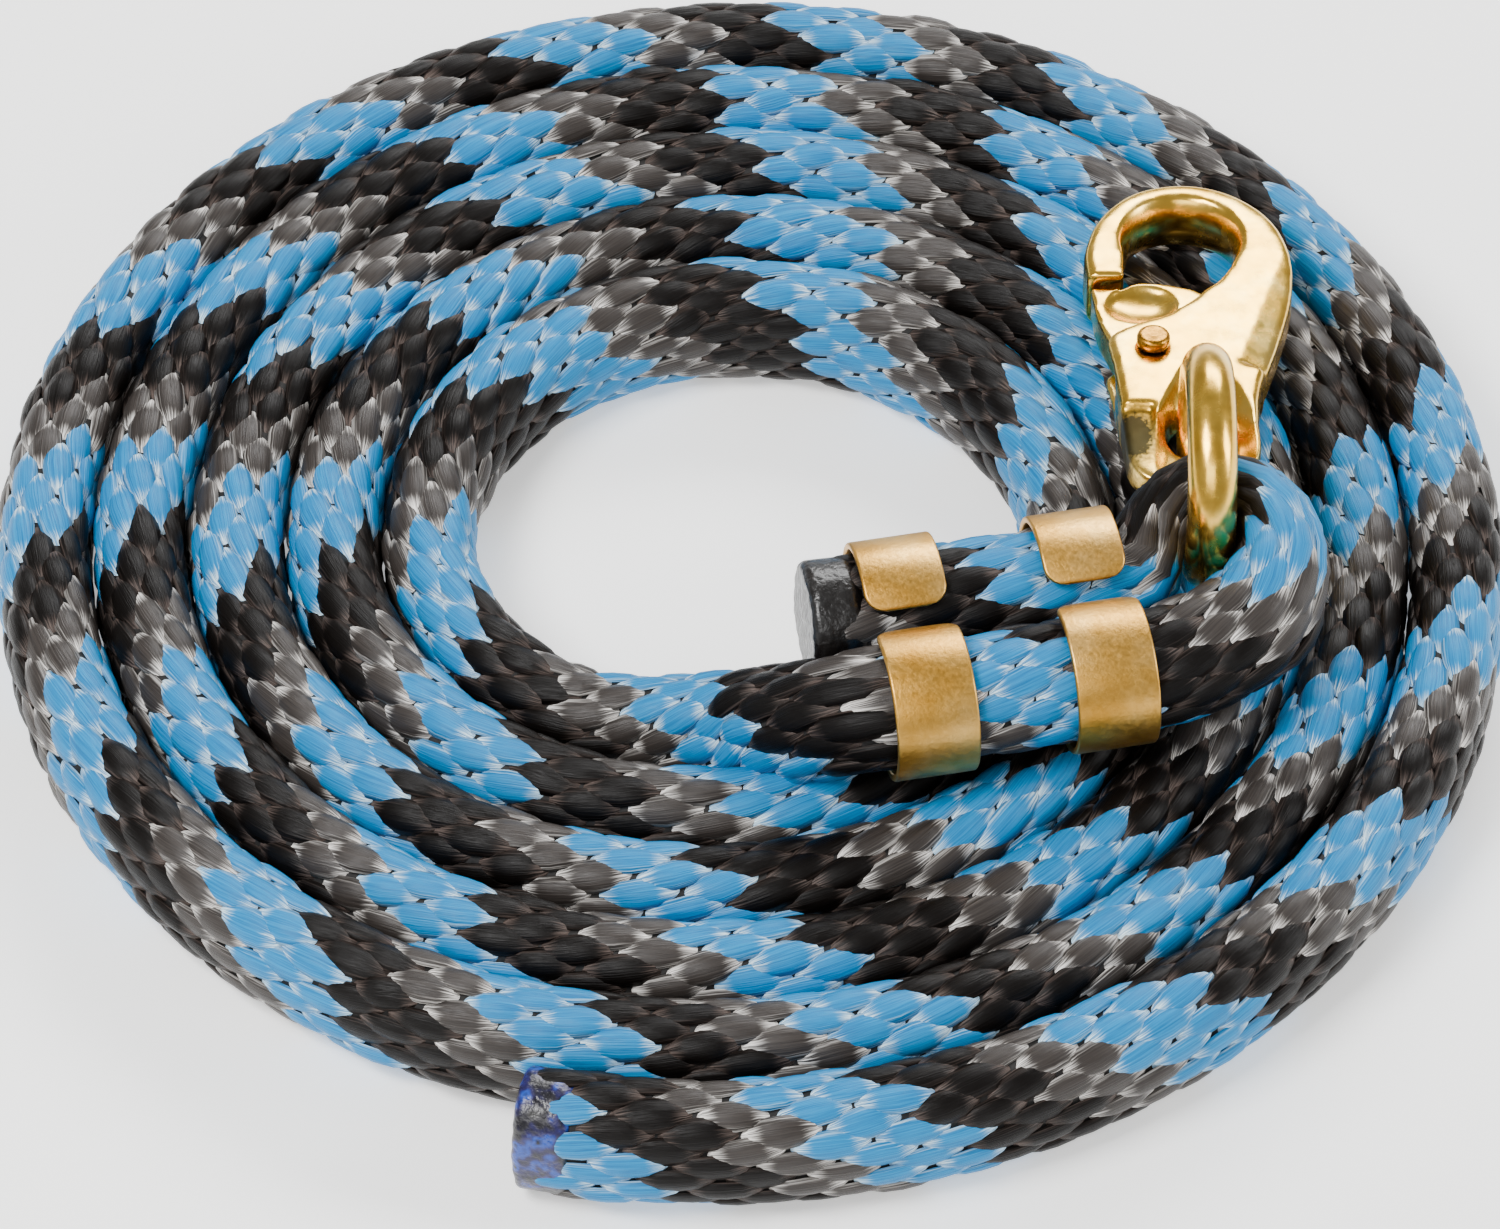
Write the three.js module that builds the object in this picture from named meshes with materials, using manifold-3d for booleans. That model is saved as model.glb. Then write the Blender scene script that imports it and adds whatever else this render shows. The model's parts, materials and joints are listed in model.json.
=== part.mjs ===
// Coiled lead rope with an eye, two crimped straps and a bull snap.
// Millimetres, +Z up. The origin is on the standing surface, under the middle of the whole object.
import * as THREE from 'three';
import { ConvexGeometry } from 'three/addons/geometries/ConvexGeometry.js';
import { mergeVertices } from 'three/addons/utils/BufferGeometryUtils.js';
import Module from 'manifold-3d';

const wasm = await Module();
wasm.setup();

// Rope
const ropeWidth = 16.8; // a turn squeezed between its neighbours
const ropeHeight = 23.2;
const eyeRadius = 9.8; // the same rope where nothing squeezes it
const turnPitch = 16.7;
const turnCentre = [-4.2, 3.85];
const tailRadius = 131; // centre line of the outer end, straight in front of the coil
const depthStretch = 1.015; // the coil is laid a little deeper than wide
const tailAngles = [-104.5, -42];
const fusedLength = 5;
const gap = 0.3;
const endGap = 0.6; // between a fused end and the rope's last section

// Coil: its outer shape
const coilCentre = [0, 7.737];
const coilOuter = 129.5;
const coilInner = 46;
const coilEdge = 5;

// The rope's way out of the coil: up on to it, round the snap's ring and back to its inner end
const eyeRoute = [
  [-27.1, -39.9, 11.6],
  [-13.5, -42.5, 14],
  [-1, -46.5, 19.4],
  [10.5, -53.2, 29.5],
  [20, -56.6, 36],
  [29, -55, 36.1],
  [44, -52, 36.2],
  [59, -49, 36.3],
  [68, -47.1, 36.3],
  [75, -44.5, 37],
  [84.5, -38.5, 38.8],
  [89.5, -28, 41.5],
  [86.5, -18, 43.5],
  [77.5, -13.9, 43.6],
  [69.5, -17.8, 41.4],
  [64.2, -26.1, 36.5],
  [60, -27, 36.3],
  [54.8, -28, 36.3],
  [39.8, -31, 36.2],
  [24.8, -34, 36.2],
  [16.5, -35.6, 36.4],
  [9, -37, 36.7],
];

// Straps
const strapWidth = 14;
const strapThickness = 1.2;
const strapBore = 11.3;
const strapSpread = 21.2; // centre to centre of the two runs
const straps = [
  { name: 'strap_left', at: [26.9, -44.5, 36.2], turn: 11.3 },
  { name: 'strap_right', at: [56.9, -38.5, 36.3], turn: 11.3 },
];

// Snap ring
const ringRadius = 16.8;
const ringBar = 4.2;
const ringCentre = [77.5, -8.35, 44.5];

// Snap body, in its own plane: x across, y towards the hook, z out of the flat face
const bodyHalf = 5.75;
const bodyTilt = -5; // degrees, the ring's end of the body lies higher than the hook
const bodyHeight = 30.9; // middle of the hook's eye above the standing surface
const holeAt = [1.5, -50];
const holeRadius = 6;
const rivetAt = [-6.1, -30];
const slotHalf = 3.6;
const tongueHalf = 3.3;
const boreRadius = 2.3;
const shankRadius = 2;
const headRadius = 2.9;

const brass = { color: 0xe0b65a, roughness: 0.25, metalness: 1 };
const satinBrass = { color: 0xc9a35c, roughness: 0.45, metalness: 1 };
const ropeBlue = { color: 0x2a9fe0, roughness: 0.6, metalness: 0 };
const ropeGrey = { color: 0x6f6862, roughness: 0.6, metalness: 0 };
const ropeBlack = { color: 0x2c2422, roughness: 0.7, metalness: 0 };
const steel = { color: 0x9a9a98, roughness: 0.4, metalness: 1 };

function solidOf(geometry) {
  const plain = geometry.index ? geometry.toNonIndexed() : geometry.clone();
  plain.deleteAttribute('normal');
  plain.deleteAttribute('uv');
  const merged = mergeVertices(plain, 1e-4);
  return new wasm.Manifold(
    new wasm.Mesh({
      numProp: 3,
      vertProperties: new Float32Array(merged.attributes.position.array),
      triVerts: new Uint32Array(merged.index.array),
    }),
  );
}

function geometryOf(solid) {
  const mesh = solid.getMesh();
  const geometry = new THREE.BufferGeometry();
  geometry.setAttribute('position', new THREE.BufferAttribute(mesh.vertProperties, 3));
  geometry.setIndex(new THREE.BufferAttribute(mesh.triVerts, 1));
  geometry.computeVertexNormals();
  return geometry;
}

function part(name, geometry, finish) {
  const mesh = new THREE.Mesh(geometry, new THREE.MeshStandardMaterial(finish));
  mesh.name = name;
  return mesh;
}

function shapeOf(points) {
  return new THREE.Shape(points.map(([x, y]) => new THREE.Vector2(x, y)));
}

// A closed outline smoothed through its points
function smoothShape(points, steps) {
  const curve = new THREE.SplineCurve([...points, points[0]].map(([x, y]) => new THREE.Vector2(x, y)));
  return new THREE.Shape(curve.getPoints(steps).slice(0, -1));
}

function slab(shape, from, to) {
  const options = { depth: to - from, bevelEnabled: false, curveSegments: 12 };
  const geometry = new THREE.ExtrudeGeometry(shape, options);
  return geometry.translate(0, 0, from);
}

function lathe(profile, segments) {
  const points = profile.map(([r, z]) => new THREE.Vector2(r, z));
  return new THREE.LatheGeometry(points, segments).rotateX(Math.PI / 2);
}

// One turn of the spiral takes turnPitch off its radius; the angle is in degrees, -90 at the front
function spiralPoint(angle, z) {
  const radius = tailRadius - (turnPitch * (angle + 90)) / 360;
  const a = THREE.MathUtils.degToRad(angle);
  const x = turnCentre[0] + radius * Math.cos(a);
  return new THREE.Vector3(x, turnCentre[1] + radius * Math.sin(a) * depthStretch, z);
}

function ovalSection(halfWidth, halfHeight, sides) {
  const points = [];
  for (let i = 0; i < sides; i++) {
    const a = (2 * Math.PI * (i + 0.5)) / sides;
    points.push([halfHeight * Math.sin(a), halfWidth * Math.cos(a)]);
  }
  return shapeOf(points);
}

function tube(section, curve, steps) {
  return new THREE.ExtrudeGeometry(section, { extrudePath: curve, steps, bevelEnabled: false });
}

// A rounded ring with flat faces, grown on every side for use as a cutter
function coilGeometry(grow) {
  const [inner, outer] = [coilInner - grow, coilOuter + grow];
  const [low, high] = [-grow, ropeHeight + grow];
  const profile = [
    [inner, low + coilEdge],
    [inner + coilEdge * 0.3, low + coilEdge * 0.3],
    [inner + coilEdge, low],
    [outer - coilEdge, low],
    [outer - coilEdge * 0.3, low + coilEdge * 0.3],
    [outer, low + coilEdge],
    [outer, high - coilEdge],
    [outer - coilEdge * 0.3, high - coilEdge * 0.3],
    [outer - coilEdge, high],
    [inner + coilEdge, high],
    [inner + coilEdge * 0.3, high - coilEdge * 0.3],
    [inner, high - coilEdge],
    [inner, low + coilEdge],
  ];
  return lathe(profile, 64).translate(coilCentre[0], coilCentre[1], 0);
}

function ropeCoil() {
  return part('rope_coil', coilGeometry(0), ropeGrey);
}

// The outer end lies against the coil, so the coil's shape is cut from it
function tailCurve(from, to, count) {
  const points = [];
  for (let i = 0; i <= count; i++) {
    points.push(spiralPoint(from + ((to - from) * i) / count, ropeHeight / 2));
  }
  return new THREE.CatmullRomCurve3(points);
}

function degreesAlong(length) {
  return THREE.MathUtils.radToDeg(length / tailRadius);
}

function ropeTail() {
  const start = tailAngles[0] + degreesAlong(fusedLength + endGap);
  const section = ovalSection(ropeWidth / 2, ropeHeight / 2, 12);
  const run = tube(section, tailCurve(start, tailAngles[1], 16), 24);
  return part('rope_tail', geometryOf(solidOf(run).subtract(solidOf(coilGeometry(gap)))), ropeBlue);
}

function tailFusedEnd() {
  const section = ovalSection(ropeWidth / 2, ropeHeight / 2, 12);
  const end = tailAngles[0] + degreesAlong(fusedLength);
  const cap = tube(section, tailCurve(tailAngles[0], end, 2), 2);
  const trimmed = solidOf(cap).subtract(solidOf(coilGeometry(gap)));
  return part('rope_outer_fused_end', geometryOf(trimmed), ropeBlack);
}

function eyeCurve() {
  return new THREE.CatmullRomCurve3(eyeRoute.map((p) => new THREE.Vector3(...p)), false, 'centripetal');
}

// The part of the eye's curve between two shares of its length
function eyeStretch(from, to, count) {
  const whole = eyeCurve();
  const points = [];
  for (let i = 0; i <= count; i++) {
    points.push(whole.getPointAt(from + ((to - from) * i) / count));
  }
  return new THREE.CatmullRomCurve3(points, false, 'centripetal');
}

// Room between a point of the eye's centre line and the ring's bar
function roomBesideRing(q) {
  const [x, y, z] = ringCentre;
  const fromCircle = Math.hypot(q.y - y, q.z - z) - ringRadius;
  return Math.hypot(q.x - x, fromCircle) - ringBar - 3 * gap;
}

// Draws the rope's surface in where the ring's bar would press on it
function pinch(geometry, curve) {
  const position = geometry.attributes.position;
  const line = curve.getSpacedPoints(200);
  const p = new THREE.Vector3();
  for (let i = 0; i < position.count; i++) {
    p.fromBufferAttribute(position, i);
    let nearest = line[0];
    for (const q of line) {
      if (q.distanceToSquared(p) < nearest.distanceToSquared(p)) nearest = q;
    }
    const keep = Math.min(eyeRadius, roomBesideRing(nearest)) / eyeRadius;
    p.sub(nearest).multiplyScalar(keep).add(nearest);
    position.setXYZ(i, p.x, p.y, p.z);
  }
  return geometry;
}

function ropeEye() {
  const length = eyeCurve().getLength();
  const run = eyeStretch(0, 1 - (fusedLength + endGap) / length, 60);
  const geometry = pinch(tube(ovalSection(eyeRadius, eyeRadius, 12), run, 56), run);
  return part('rope_eye', geometryOf(solidOf(geometry).subtract(solidOf(coilGeometry(gap)))), ropeBlue);
}

// The inner end leans on the rope where that climbs on to the coil, so the climb is cut from it
function eyeFusedEnd() {
  const length = eyeCurve().getLength();
  const section = ovalSection(eyeRadius, eyeRadius, 12);
  const end = tube(section, eyeStretch(1 - fusedLength / length, 1, 2), 2);
  const wide = ovalSection(eyeRadius + 2 * gap, eyeRadius + 2 * gap, 12);
  const climb = tube(wide, eyeStretch(0.02, 0.25, 16), 16);
  return part('rope_inner_fused_end', geometryOf(solidOf(end).subtract(solidOf(climb))), ropeBlack);
}

// A strap bent round two runs side by side, its ends tucked into the valley between them
function strapOutline(offset) {
  const radius = strapBore + offset;
  const half = strapSpread / 2;
  const points = [];
  for (let i = 0; i <= 20; i++) {
    const a = THREE.MathUtils.degToRad(48 + (222 * i) / 20);
    points.push([-half + radius * Math.cos(a), radius * Math.sin(a)]);
  }
  return [...points, ...points.map(([x, y]) => [-x, y]).reverse()];
}

function strap({ name, at, turn }) {
  const outline = [...strapOutline(strapThickness), ...strapOutline(0).reverse()];
  const geometry = slab(shapeOf(outline), -strapWidth / 2, strapWidth / 2);
  const mesh = part(name, geometry, satinBrass);
  const lay = new THREE.Group();
  lay.position.set(...at);
  lay.rotation.z = THREE.MathUtils.degToRad(turn);
  // Turned so that the outline's x runs across the two runs and its y points up
  mesh.quaternion.setFromAxisAngle(new THREE.Vector3(1, 1, 1).normalize(), (2 * Math.PI) / 3);
  lay.add(mesh);
  return lay;
}

function snapRing() {
  const ring = part('snap_ring', new THREE.TorusGeometry(ringRadius, ringBar, 14, 48), brass);
  ring.rotation.y = Math.PI / 2;
  ring.position.set(...ringCentre);
  return ring;
}

// Plan of the casting: hook, right arm, shank and the end round the ring's hole
function bodyShape() {
  return smoothShape(
    [
      [-16.9, -9.5],
      [-17.1, -3],
      [-14.2, 6],
      [-7.8, 13],
      [1.5, 15.2],
      [10, 12.2],
      [16.4, 5.2],
      [19.2, -4.5],
      [18.7, -15],
      [15.6, -28],
      [12.4, -39],
      [11.4, -48],
      [11.2, -57],
      [7.5, -62],
      [-5, -62.4],
      [-10.6, -58.5],
      [-12, -48],
      [-13.1, -36],
      [-14.4, -27],
      [-16, -18],
    ],
    110,
  );
}

// The hook's eye is wider at both faces than at its waist, round a circular arc between them
function hookEyeCutter() {
  const [waist, arc, reach] = [9.3, 9.6, 7];
  const profile = [[0, -reach]];
  for (let i = -6; i <= 6; i++) {
    const z = (reach * i) / 6;
    profile.push([waist + arc - Math.sqrt(arc * arc - z * z), z]);
  }
  profile.push([0, reach]);
  return lathe(profile, 40);
}

// The mouth: from the hook's tip, round the cheek's edge and up the right arm
function mouthShape() {
  const cheek = new THREE.SplineCurve(
    [
      [-14.6, -28.6],
      [-12.5, -26],
      [-8.5, -23.7],
      [-2.3, -20.4],
      [3.6, -14.6],
      [7.4, -10],
      [9.2, -5],
      [9.4, 0],
    ].map(([x, y]) => new THREE.Vector2(x, y)),
  );
  const edge = cheek.getPoints(24).map((p) => [p.x, p.y]);
  return shapeOf([[-10, 0], [-10.4, -10.9], [-25, -10.9], [-25, -28.6], ...edge]);
}

// The slot between the cheeks holds the tongue through its whole swing and lets its end under the hook's tip
function slotShape() {
  const [nearReach, farReach, heelReach] = [19.8, 21.4, 7];
  const shape = new THREE.Shape();
  const [x, y] = rivetAt;
  shape.absarc(x, y, nearReach, THREE.MathUtils.degToRad(16), THREE.MathUtils.degToRad(32), false);
  shape.absarc(x, y, farReach, THREE.MathUtils.degToRad(32), THREE.MathUtils.degToRad(150), false);
  shape.lineTo(x - 30, y + 5);
  shape.lineTo(x - 30, y - heelReach);
  shape.lineTo(x + 2, y - heelReach);
  shape.absarc(x, y, heelReach, THREE.MathUtils.degToRad(-70), THREE.MathUtils.degToRad(-20), false);
  return shape;
}

// The ring's hole leans along the ring's bar, and a flare leads down to it on both faces
function holeCutters() {
  const bore = new THREE.CylinderGeometry(holeRadius, holeRadius, 40, 32).rotateX(Math.PI / 2);
  bore.rotateX(ringLean()).translate(holeAt[0], holeAt[1], 0);
  return [bore, flare(1), flare(-1)];
}

// A pointed arch on the face, drawn down to the hole and to a lower lip at the body's end
function flare(side) {
  const [archHeight, holeHeight, lipHeight] = [bodyHalf + 0.6, 1.7, 2.9];
  const arch = [
    [0.2, -30.6],
    [2.4, -30.6],
    [7.6, -38],
    [10.9, -47],
    [11.6, -56],
    [11.6, -67],
    [-10.2, -67],
    [-9, -56],
    [-6, -46],
    [-2.6, -37.5],
  ].map(([x, y]) => new THREE.Vector3(x, y, side * archHeight));
  const lip = [-7.4, 9.4].map((x) => new THREE.Vector3(x, -67, side * lipHeight));
  const rim = [];
  for (let i = 0; i < 16; i++) {
    const a = (2 * Math.PI * i) / 16;
    const x = holeAt[0] + holeRadius * Math.cos(a);
    rim.push(new THREE.Vector3(x, holeAt[1] + holeRadius * Math.sin(a), side * holeHeight));
  }
  return new ConvexGeometry([...arch, ...lip, ...rim]);
}

// The ring as the body meets it, swung to each side about its own bar where that passes through the hole
function ringClearance() {
  return [-20, -10, 0, 10, 20].map((swing) => {
    const ring = new THREE.TorusGeometry(ringRadius, ringBar + 2 * gap, 12, 40).rotateY(Math.PI / 2);
    ring.translate(0, -ringRadius, 0).rotateZ(THREE.MathUtils.degToRad(swing));
    return ring.rotateX(ringLean()).translate(holeAt[0], holeAt[1], 0);
  });
}

// Angle on the ring, below its middle, at which its bar passes through the body
function ringAngle() {
  const holeHeight = bodyHeight + holeAt[1] * Math.sin(THREE.MathUtils.degToRad(bodyTilt));
  return Math.asin((holeHeight - ringCentre[2]) / ringRadius);
}

function ringLean() {
  return ringAngle() - THREE.MathUtils.degToRad(bodyTilt);
}

function snapBodyGeometry() {
  const casting = new THREE.ExtrudeGeometry(bodyShape(), {
    depth: 2 * bodyHalf - 3,
    bevelEnabled: true,
    bevelSize: 1.8,
    bevelOffset: -1.8,
    bevelThickness: 1.5,
    bevelSegments: 3,
  }).translate(0, 0, -bodyHalf + 1.5);
  const [rx, ry] = rivetAt;
  const cutters = [
    hookEyeCutter(),
    slab(mouthShape(), -8, 8),
    slab(slotShape(), -slotHalf, slotHalf),
    new THREE.CylinderGeometry(boreRadius, boreRadius, 30, 24).rotateX(Math.PI / 2).translate(rx, ry, 0),
    ...holeCutters(),
    ...ringClearance(),
    ...armChamfers(),
    ...endSteps(),
  ];
  return cutters.reduce((solid, cutter) => solid.subtract(solidOf(cutter)), solidOf(casting));
}

// Sloping facets along the right arm, on both faces; each starts where its edge leaves the outline
function armChamfers() {
  const [slope, lean] = [24, -17.6];
  const [x, y] = [12.5, -19.2]; // a point on the facet's edge
  return [1, -1].map((side) => {
    const box = new THREE.BoxGeometry(16, 44, 8).translate(8, 0, 4);
    box.rotateY(THREE.MathUtils.degToRad(slope)).translate(0, 6.5, 0);
    box.rotateZ(THREE.MathUtils.degToRad(lean)).translate(x, y, bodyHalf);
    if (side < 0) {
      box.scale(1, 1, -1);
      box.index.array.reverse();
    }
    return box;
  });
}

// The shank's left corner is stepped down below the cheek
function endSteps() {
  return [1, -1].map((side) => {
    const box = new THREE.BoxGeometry(12, 24, 8).rotateX(THREE.MathUtils.degToRad(side * 6));
    return box.translate(-12.4, -57.6, side * (bodyHalf + 1.2));
  });
}

// Tongue: a plate that fills the mouth, with a boss on the rivet and a thumb hollow
function tongueShape() {
  const [x, y] = rivetAt;
  const shape = new THREE.Shape();
  shape.moveTo(-16.2, -11.5);
  shape.lineTo(-10.3, -11.4);
  shape.quadraticCurveTo(-9.6, -10.2, -7.5, -10);
  shape.quadraticCurveTo(-1, -9.6, 4.2, -13.6);
  shape.quadraticCurveTo(3.4, -22, x + 5.2, y - 1);
  shape.absarc(x, y, 5.3, THREE.MathUtils.degToRad(-10), THREE.MathUtils.degToRad(190), true);
  shape.quadraticCurveTo(-14.6, -24, -15.6, -18);
  shape.lineTo(-16.2, -11.5);
  return shape;
}

function thumbHollow() {
  const scoop = new THREE.SphereGeometry(1, 32, 20);
  return scoop.scale(6.6, 5.2, 2.4).translate(-7.6, -16, tongueHalf + 0.5);
}

function snapTongue() {
  const [x, y] = rivetAt;
  const cutters = [
    new THREE.CylinderGeometry(2.4, 2.4, 20, 24).rotateX(Math.PI / 2).translate(x, y, 0),
    new THREE.CylinderGeometry(4.3, 4.3, 8, 28).rotateX(Math.PI / 2).translate(x, y, 0.6 - 4),
    thumbHollow(),
  ];
  const plate = solidOf(slab(tongueShape(), -tongueHalf, tongueHalf));
  const solid = cutters.reduce((left, cutter) => left.subtract(solidOf(cutter)), plate);
  return part('snap_tongue', geometryOf(solid), brass);
}

function snapRivet() {
  const lift = bodyHalf + gap;
  const profile = [
    [0, -lift - 1.2],
    [headRadius - 0.4, -lift - 1.2],
    [headRadius, -lift - 0.8],
    [headRadius, -lift],
    [shankRadius, -lift],
    [shankRadius, lift],
    [headRadius, lift],
    [headRadius, lift + 1.9],
    [headRadius - 0.5, lift + 2.3],
    [0, lift + 2.3],
  ];
  return part('snap_rivet', lathe(profile, 28).translate(...rivetAt, 0), brass);
}

// Three turns of wire round the rivet, under the tongue's boss
function snapSpring() {
  const points = [];
  const [turns, perTurn, meanRadius, rise] = [2.6, 16, 3.35, 1];
  for (let i = 0; i <= turns * perTurn; i++) {
    const a = (2 * Math.PI * i) / perTurn;
    const z = -2.75 + (rise * i) / perTurn;
    const x = rivetAt[0] + meanRadius * Math.cos(a);
    const y = rivetAt[1] + meanRadius * Math.sin(a);
    points.push(new THREE.Vector3(x, y, z));
  }
  const wire = tube(ovalSection(0.4, 0.4, 8), new THREE.CatmullRomCurve3(points), 72);
  return part('snap_tongue_spring', wire, steel);
}

function snap() {
  const group = new THREE.Group();
  group.add(part('snap_body', geometryOf(snapBodyGeometry()), brass));
  group.add(snapTongue(), snapRivet(), snapSpring());
  const tilt = THREE.MathUtils.degToRad(bodyTilt);
  const ringY = ringCentre[1] + ringRadius * Math.cos(ringAngle());
  group.rotation.x = tilt;
  group.position.set(ringCentre[0] - holeAt[0], ringY - holeAt[1] * Math.cos(tilt), bodyHeight);
  return group;
}

const leadRope = new THREE.Group();
leadRope.add(ropeCoil(), ropeTail(), tailFusedEnd(), ropeEye(), eyeFusedEnd());
for (const each of straps) {
  leadRope.add(strap(each));
}
leadRope.add(snapRing(), snap());

export default leadRope;
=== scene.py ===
import json
import math

import bmesh
import bpy
import numpy as np
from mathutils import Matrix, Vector


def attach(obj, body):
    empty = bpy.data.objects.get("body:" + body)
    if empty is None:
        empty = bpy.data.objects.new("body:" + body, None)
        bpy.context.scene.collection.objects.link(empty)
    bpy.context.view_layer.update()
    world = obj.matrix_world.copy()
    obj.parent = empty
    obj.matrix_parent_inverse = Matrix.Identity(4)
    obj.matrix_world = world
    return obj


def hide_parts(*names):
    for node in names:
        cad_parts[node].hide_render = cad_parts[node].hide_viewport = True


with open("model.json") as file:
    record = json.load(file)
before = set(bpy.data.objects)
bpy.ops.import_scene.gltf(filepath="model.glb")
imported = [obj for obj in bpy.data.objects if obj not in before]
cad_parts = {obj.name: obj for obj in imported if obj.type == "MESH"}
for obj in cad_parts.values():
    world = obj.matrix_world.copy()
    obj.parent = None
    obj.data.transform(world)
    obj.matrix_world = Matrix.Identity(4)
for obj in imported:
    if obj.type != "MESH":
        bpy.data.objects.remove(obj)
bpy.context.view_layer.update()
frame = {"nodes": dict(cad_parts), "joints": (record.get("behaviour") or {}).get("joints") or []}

mm = 0.001
nodes = frame["nodes"]
joints = {joint["name"]: joint for joint in frame["joints"]}


# sRGB hex to linear: below 0.04045 a straight line, above it ((c + 0.055) / 1.055) ^ 2.4
def hexColour(text, alpha=1.0):
    values = np.array([int(text[i:i + 2], 16) for i in (1, 3, 5)]) / 255
    linear = np.where(values <= 0.04045, values / 12.92, ((values + 0.055) / 1.055) ** 2.4)
    return (*linear.tolist(), alpha)


# one shader node with its settings, then its inputs: a value, or the output of another node
def addNode(tree, kind, settings=None, **inputs):
    node = tree.nodes.new(kind)
    for key, value in (settings or {}).items():
        setattr(node, key, value)
    for key, value in inputs.items():
        socket = node.inputs[int(key[1:]) if key[1:].isdigit() else key.replace("_", " ")]
        if isinstance(value, bpy.types.NodeSocket):
            tree.links.new(value, socket)
        else:
            socket.default_value = value
    return node


def addNoise(tree, place, scale, detail=2.0, roughness=0.5):
    return addNode(tree, "ShaderNodeTexNoise", Vector=place, Scale=scale, Detail=detail,
                   Roughness=roughness).outputs["Fac"]


def addMath(tree, operation, *values):
    inputs = {f"_{i}": value for i, value in enumerate(values)}
    return addNode(tree, "ShaderNodeMath", {"operation": operation}, **inputs).outputs[0]


# a share of the second colour, given as hex, mixed into the first
def addMix(tree, share, first, second):
    node = addNode(tree, "ShaderNodeMix", {"data_type": "RGBA"}, Factor=share)
    tree.links.new(first, node.inputs["A"])
    node.inputs["B"].default_value = hexColour(second)
    return node.outputs["Result"]


# value from one range on to another, clamped
def addRange(tree, value, fromRange, toRange, smooth=False):
    kind = {"interpolation_type": "SMOOTHSTEP"} if smooth else {}
    limits = {"From_Min": fromRange[0], "From_Max": fromRange[1], "To_Min": toRange[0], "To_Max": toRange[1]}
    return addNode(tree, "ShaderNodeMapRange", kind, Value=value, **limits).outputs[0]


def addBump(tree, shader, height, strength, distance):
    bump = addNode(tree, "ShaderNodeBump", Strength=strength, Distance=distance, Height=height)
    tree.links.new(bump.outputs["Normal"], shader.inputs["Normal"])


# a material that starts as one Principled shader; the caller adds the pattern
def newMaterial(name, **constants):
    material = bpy.data.materials.new(name)
    material.use_nodes = True
    tree = material.node_tree
    shader = tree.nodes["Principled BSDF"]
    for key, value in constants.items():
        shader.inputs[key.replace("_", " ")].default_value = value
    return material, tree, shader


# a colour ramp: stops are (place, hex)
def addRamp(tree, fac, stops):
    node = addNode(tree, "ShaderNodeValToRGB", Fac=fac)
    ramp = node.color_ramp
    while len(ramp.elements) < len(stops):
        ramp.elements.new(0.5)
    for element, (place, colour) in zip(ramp.elements, stops):
        element.position = place
        element.color = hexColour(colour)
    return node.outputs["Color"]


def meshObject(name, points, faces, material, smooth=True):
    mesh = bpy.data.meshes.new(name)
    mesh.from_pydata(np.asarray(points).reshape(-1, 3).tolist(), [], faces)
    mesh.materials.append(material)
    mesh.polygons.foreach_set("use_smooth", np.full(len(mesh.polygons), smooth))
    mesh.update()
    piece = bpy.data.objects.new(name, mesh)
    bpy.context.scene.collection.objects.link(piece)
    return piece


# faces of a grid of rows x columns points; columns wrap round when closed
def gridFaces(rows, columns, closed=True):
    r = np.arange(rows - 1)[:, None]
    c = np.arange(columns if closed else columns - 1)[None, :]
    nextColumn = (c + 1) % columns
    quads = np.stack([r * columns + c + 0 * r, r * columns + nextColumn,
                      (r + 1) * columns + nextColumn, (r + 1) * columns + c], axis=-1)
    return quads.reshape(-1, 4).tolist()


def signedPower(x, power):
    return np.sign(x) * np.abs(x) ** power


# the same figures as in the design, in metres
spiral = {"centre": (-0.0042, 0.00385), "radius": 0.131, "pitch": 0.0167, "depth": 1.015,
          "from": -104.5, "to": 1682, "height": 0.0116}
eyeRoute = np.array([
    [-27.1, -39.9, 11.6], [-13.5, -42.5, 14], [-1, -46.5, 19.4], [10.5, -53.2, 29.5], [20, -56.6, 36],
    [29, -55, 36.1], [44, -52, 36.2], [59, -49, 36.3], [68, -47.1, 36.3], [75, -44.5, 37],
    [84.5, -38.5, 38.8], [89.5, -28, 41.5], [86.5, -18, 43.5], [77.5, -13.9, 43.6], [69.5, -17.8, 41.4],
    [64.2, -26.1, 36.5], [60, -27, 36.3], [54.8, -28, 36.3], [39.8, -31, 36.2], [24.8, -34, 36.2],
    [16.5, -35.6, 36.4], [9, -37, 36.7]]) * mm


# spiral: radius falls by one pitch a turn, x = cx + r cos a, y = cy + depth r sin a
def spiralPoints():
    degrees = np.linspace(spiral["from"], spiral["to"], 480)[:-1]
    radius = spiral["radius"] - spiral["pitch"] * (degrees + 90) / 360
    a = np.radians(degrees)
    x = spiral["centre"][0] + radius * np.cos(a)
    y = spiral["centre"][1] + radius * np.sin(a) * spiral["depth"]
    return np.stack([x, y, np.full_like(x, spiral["height"])], axis=1)


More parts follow.
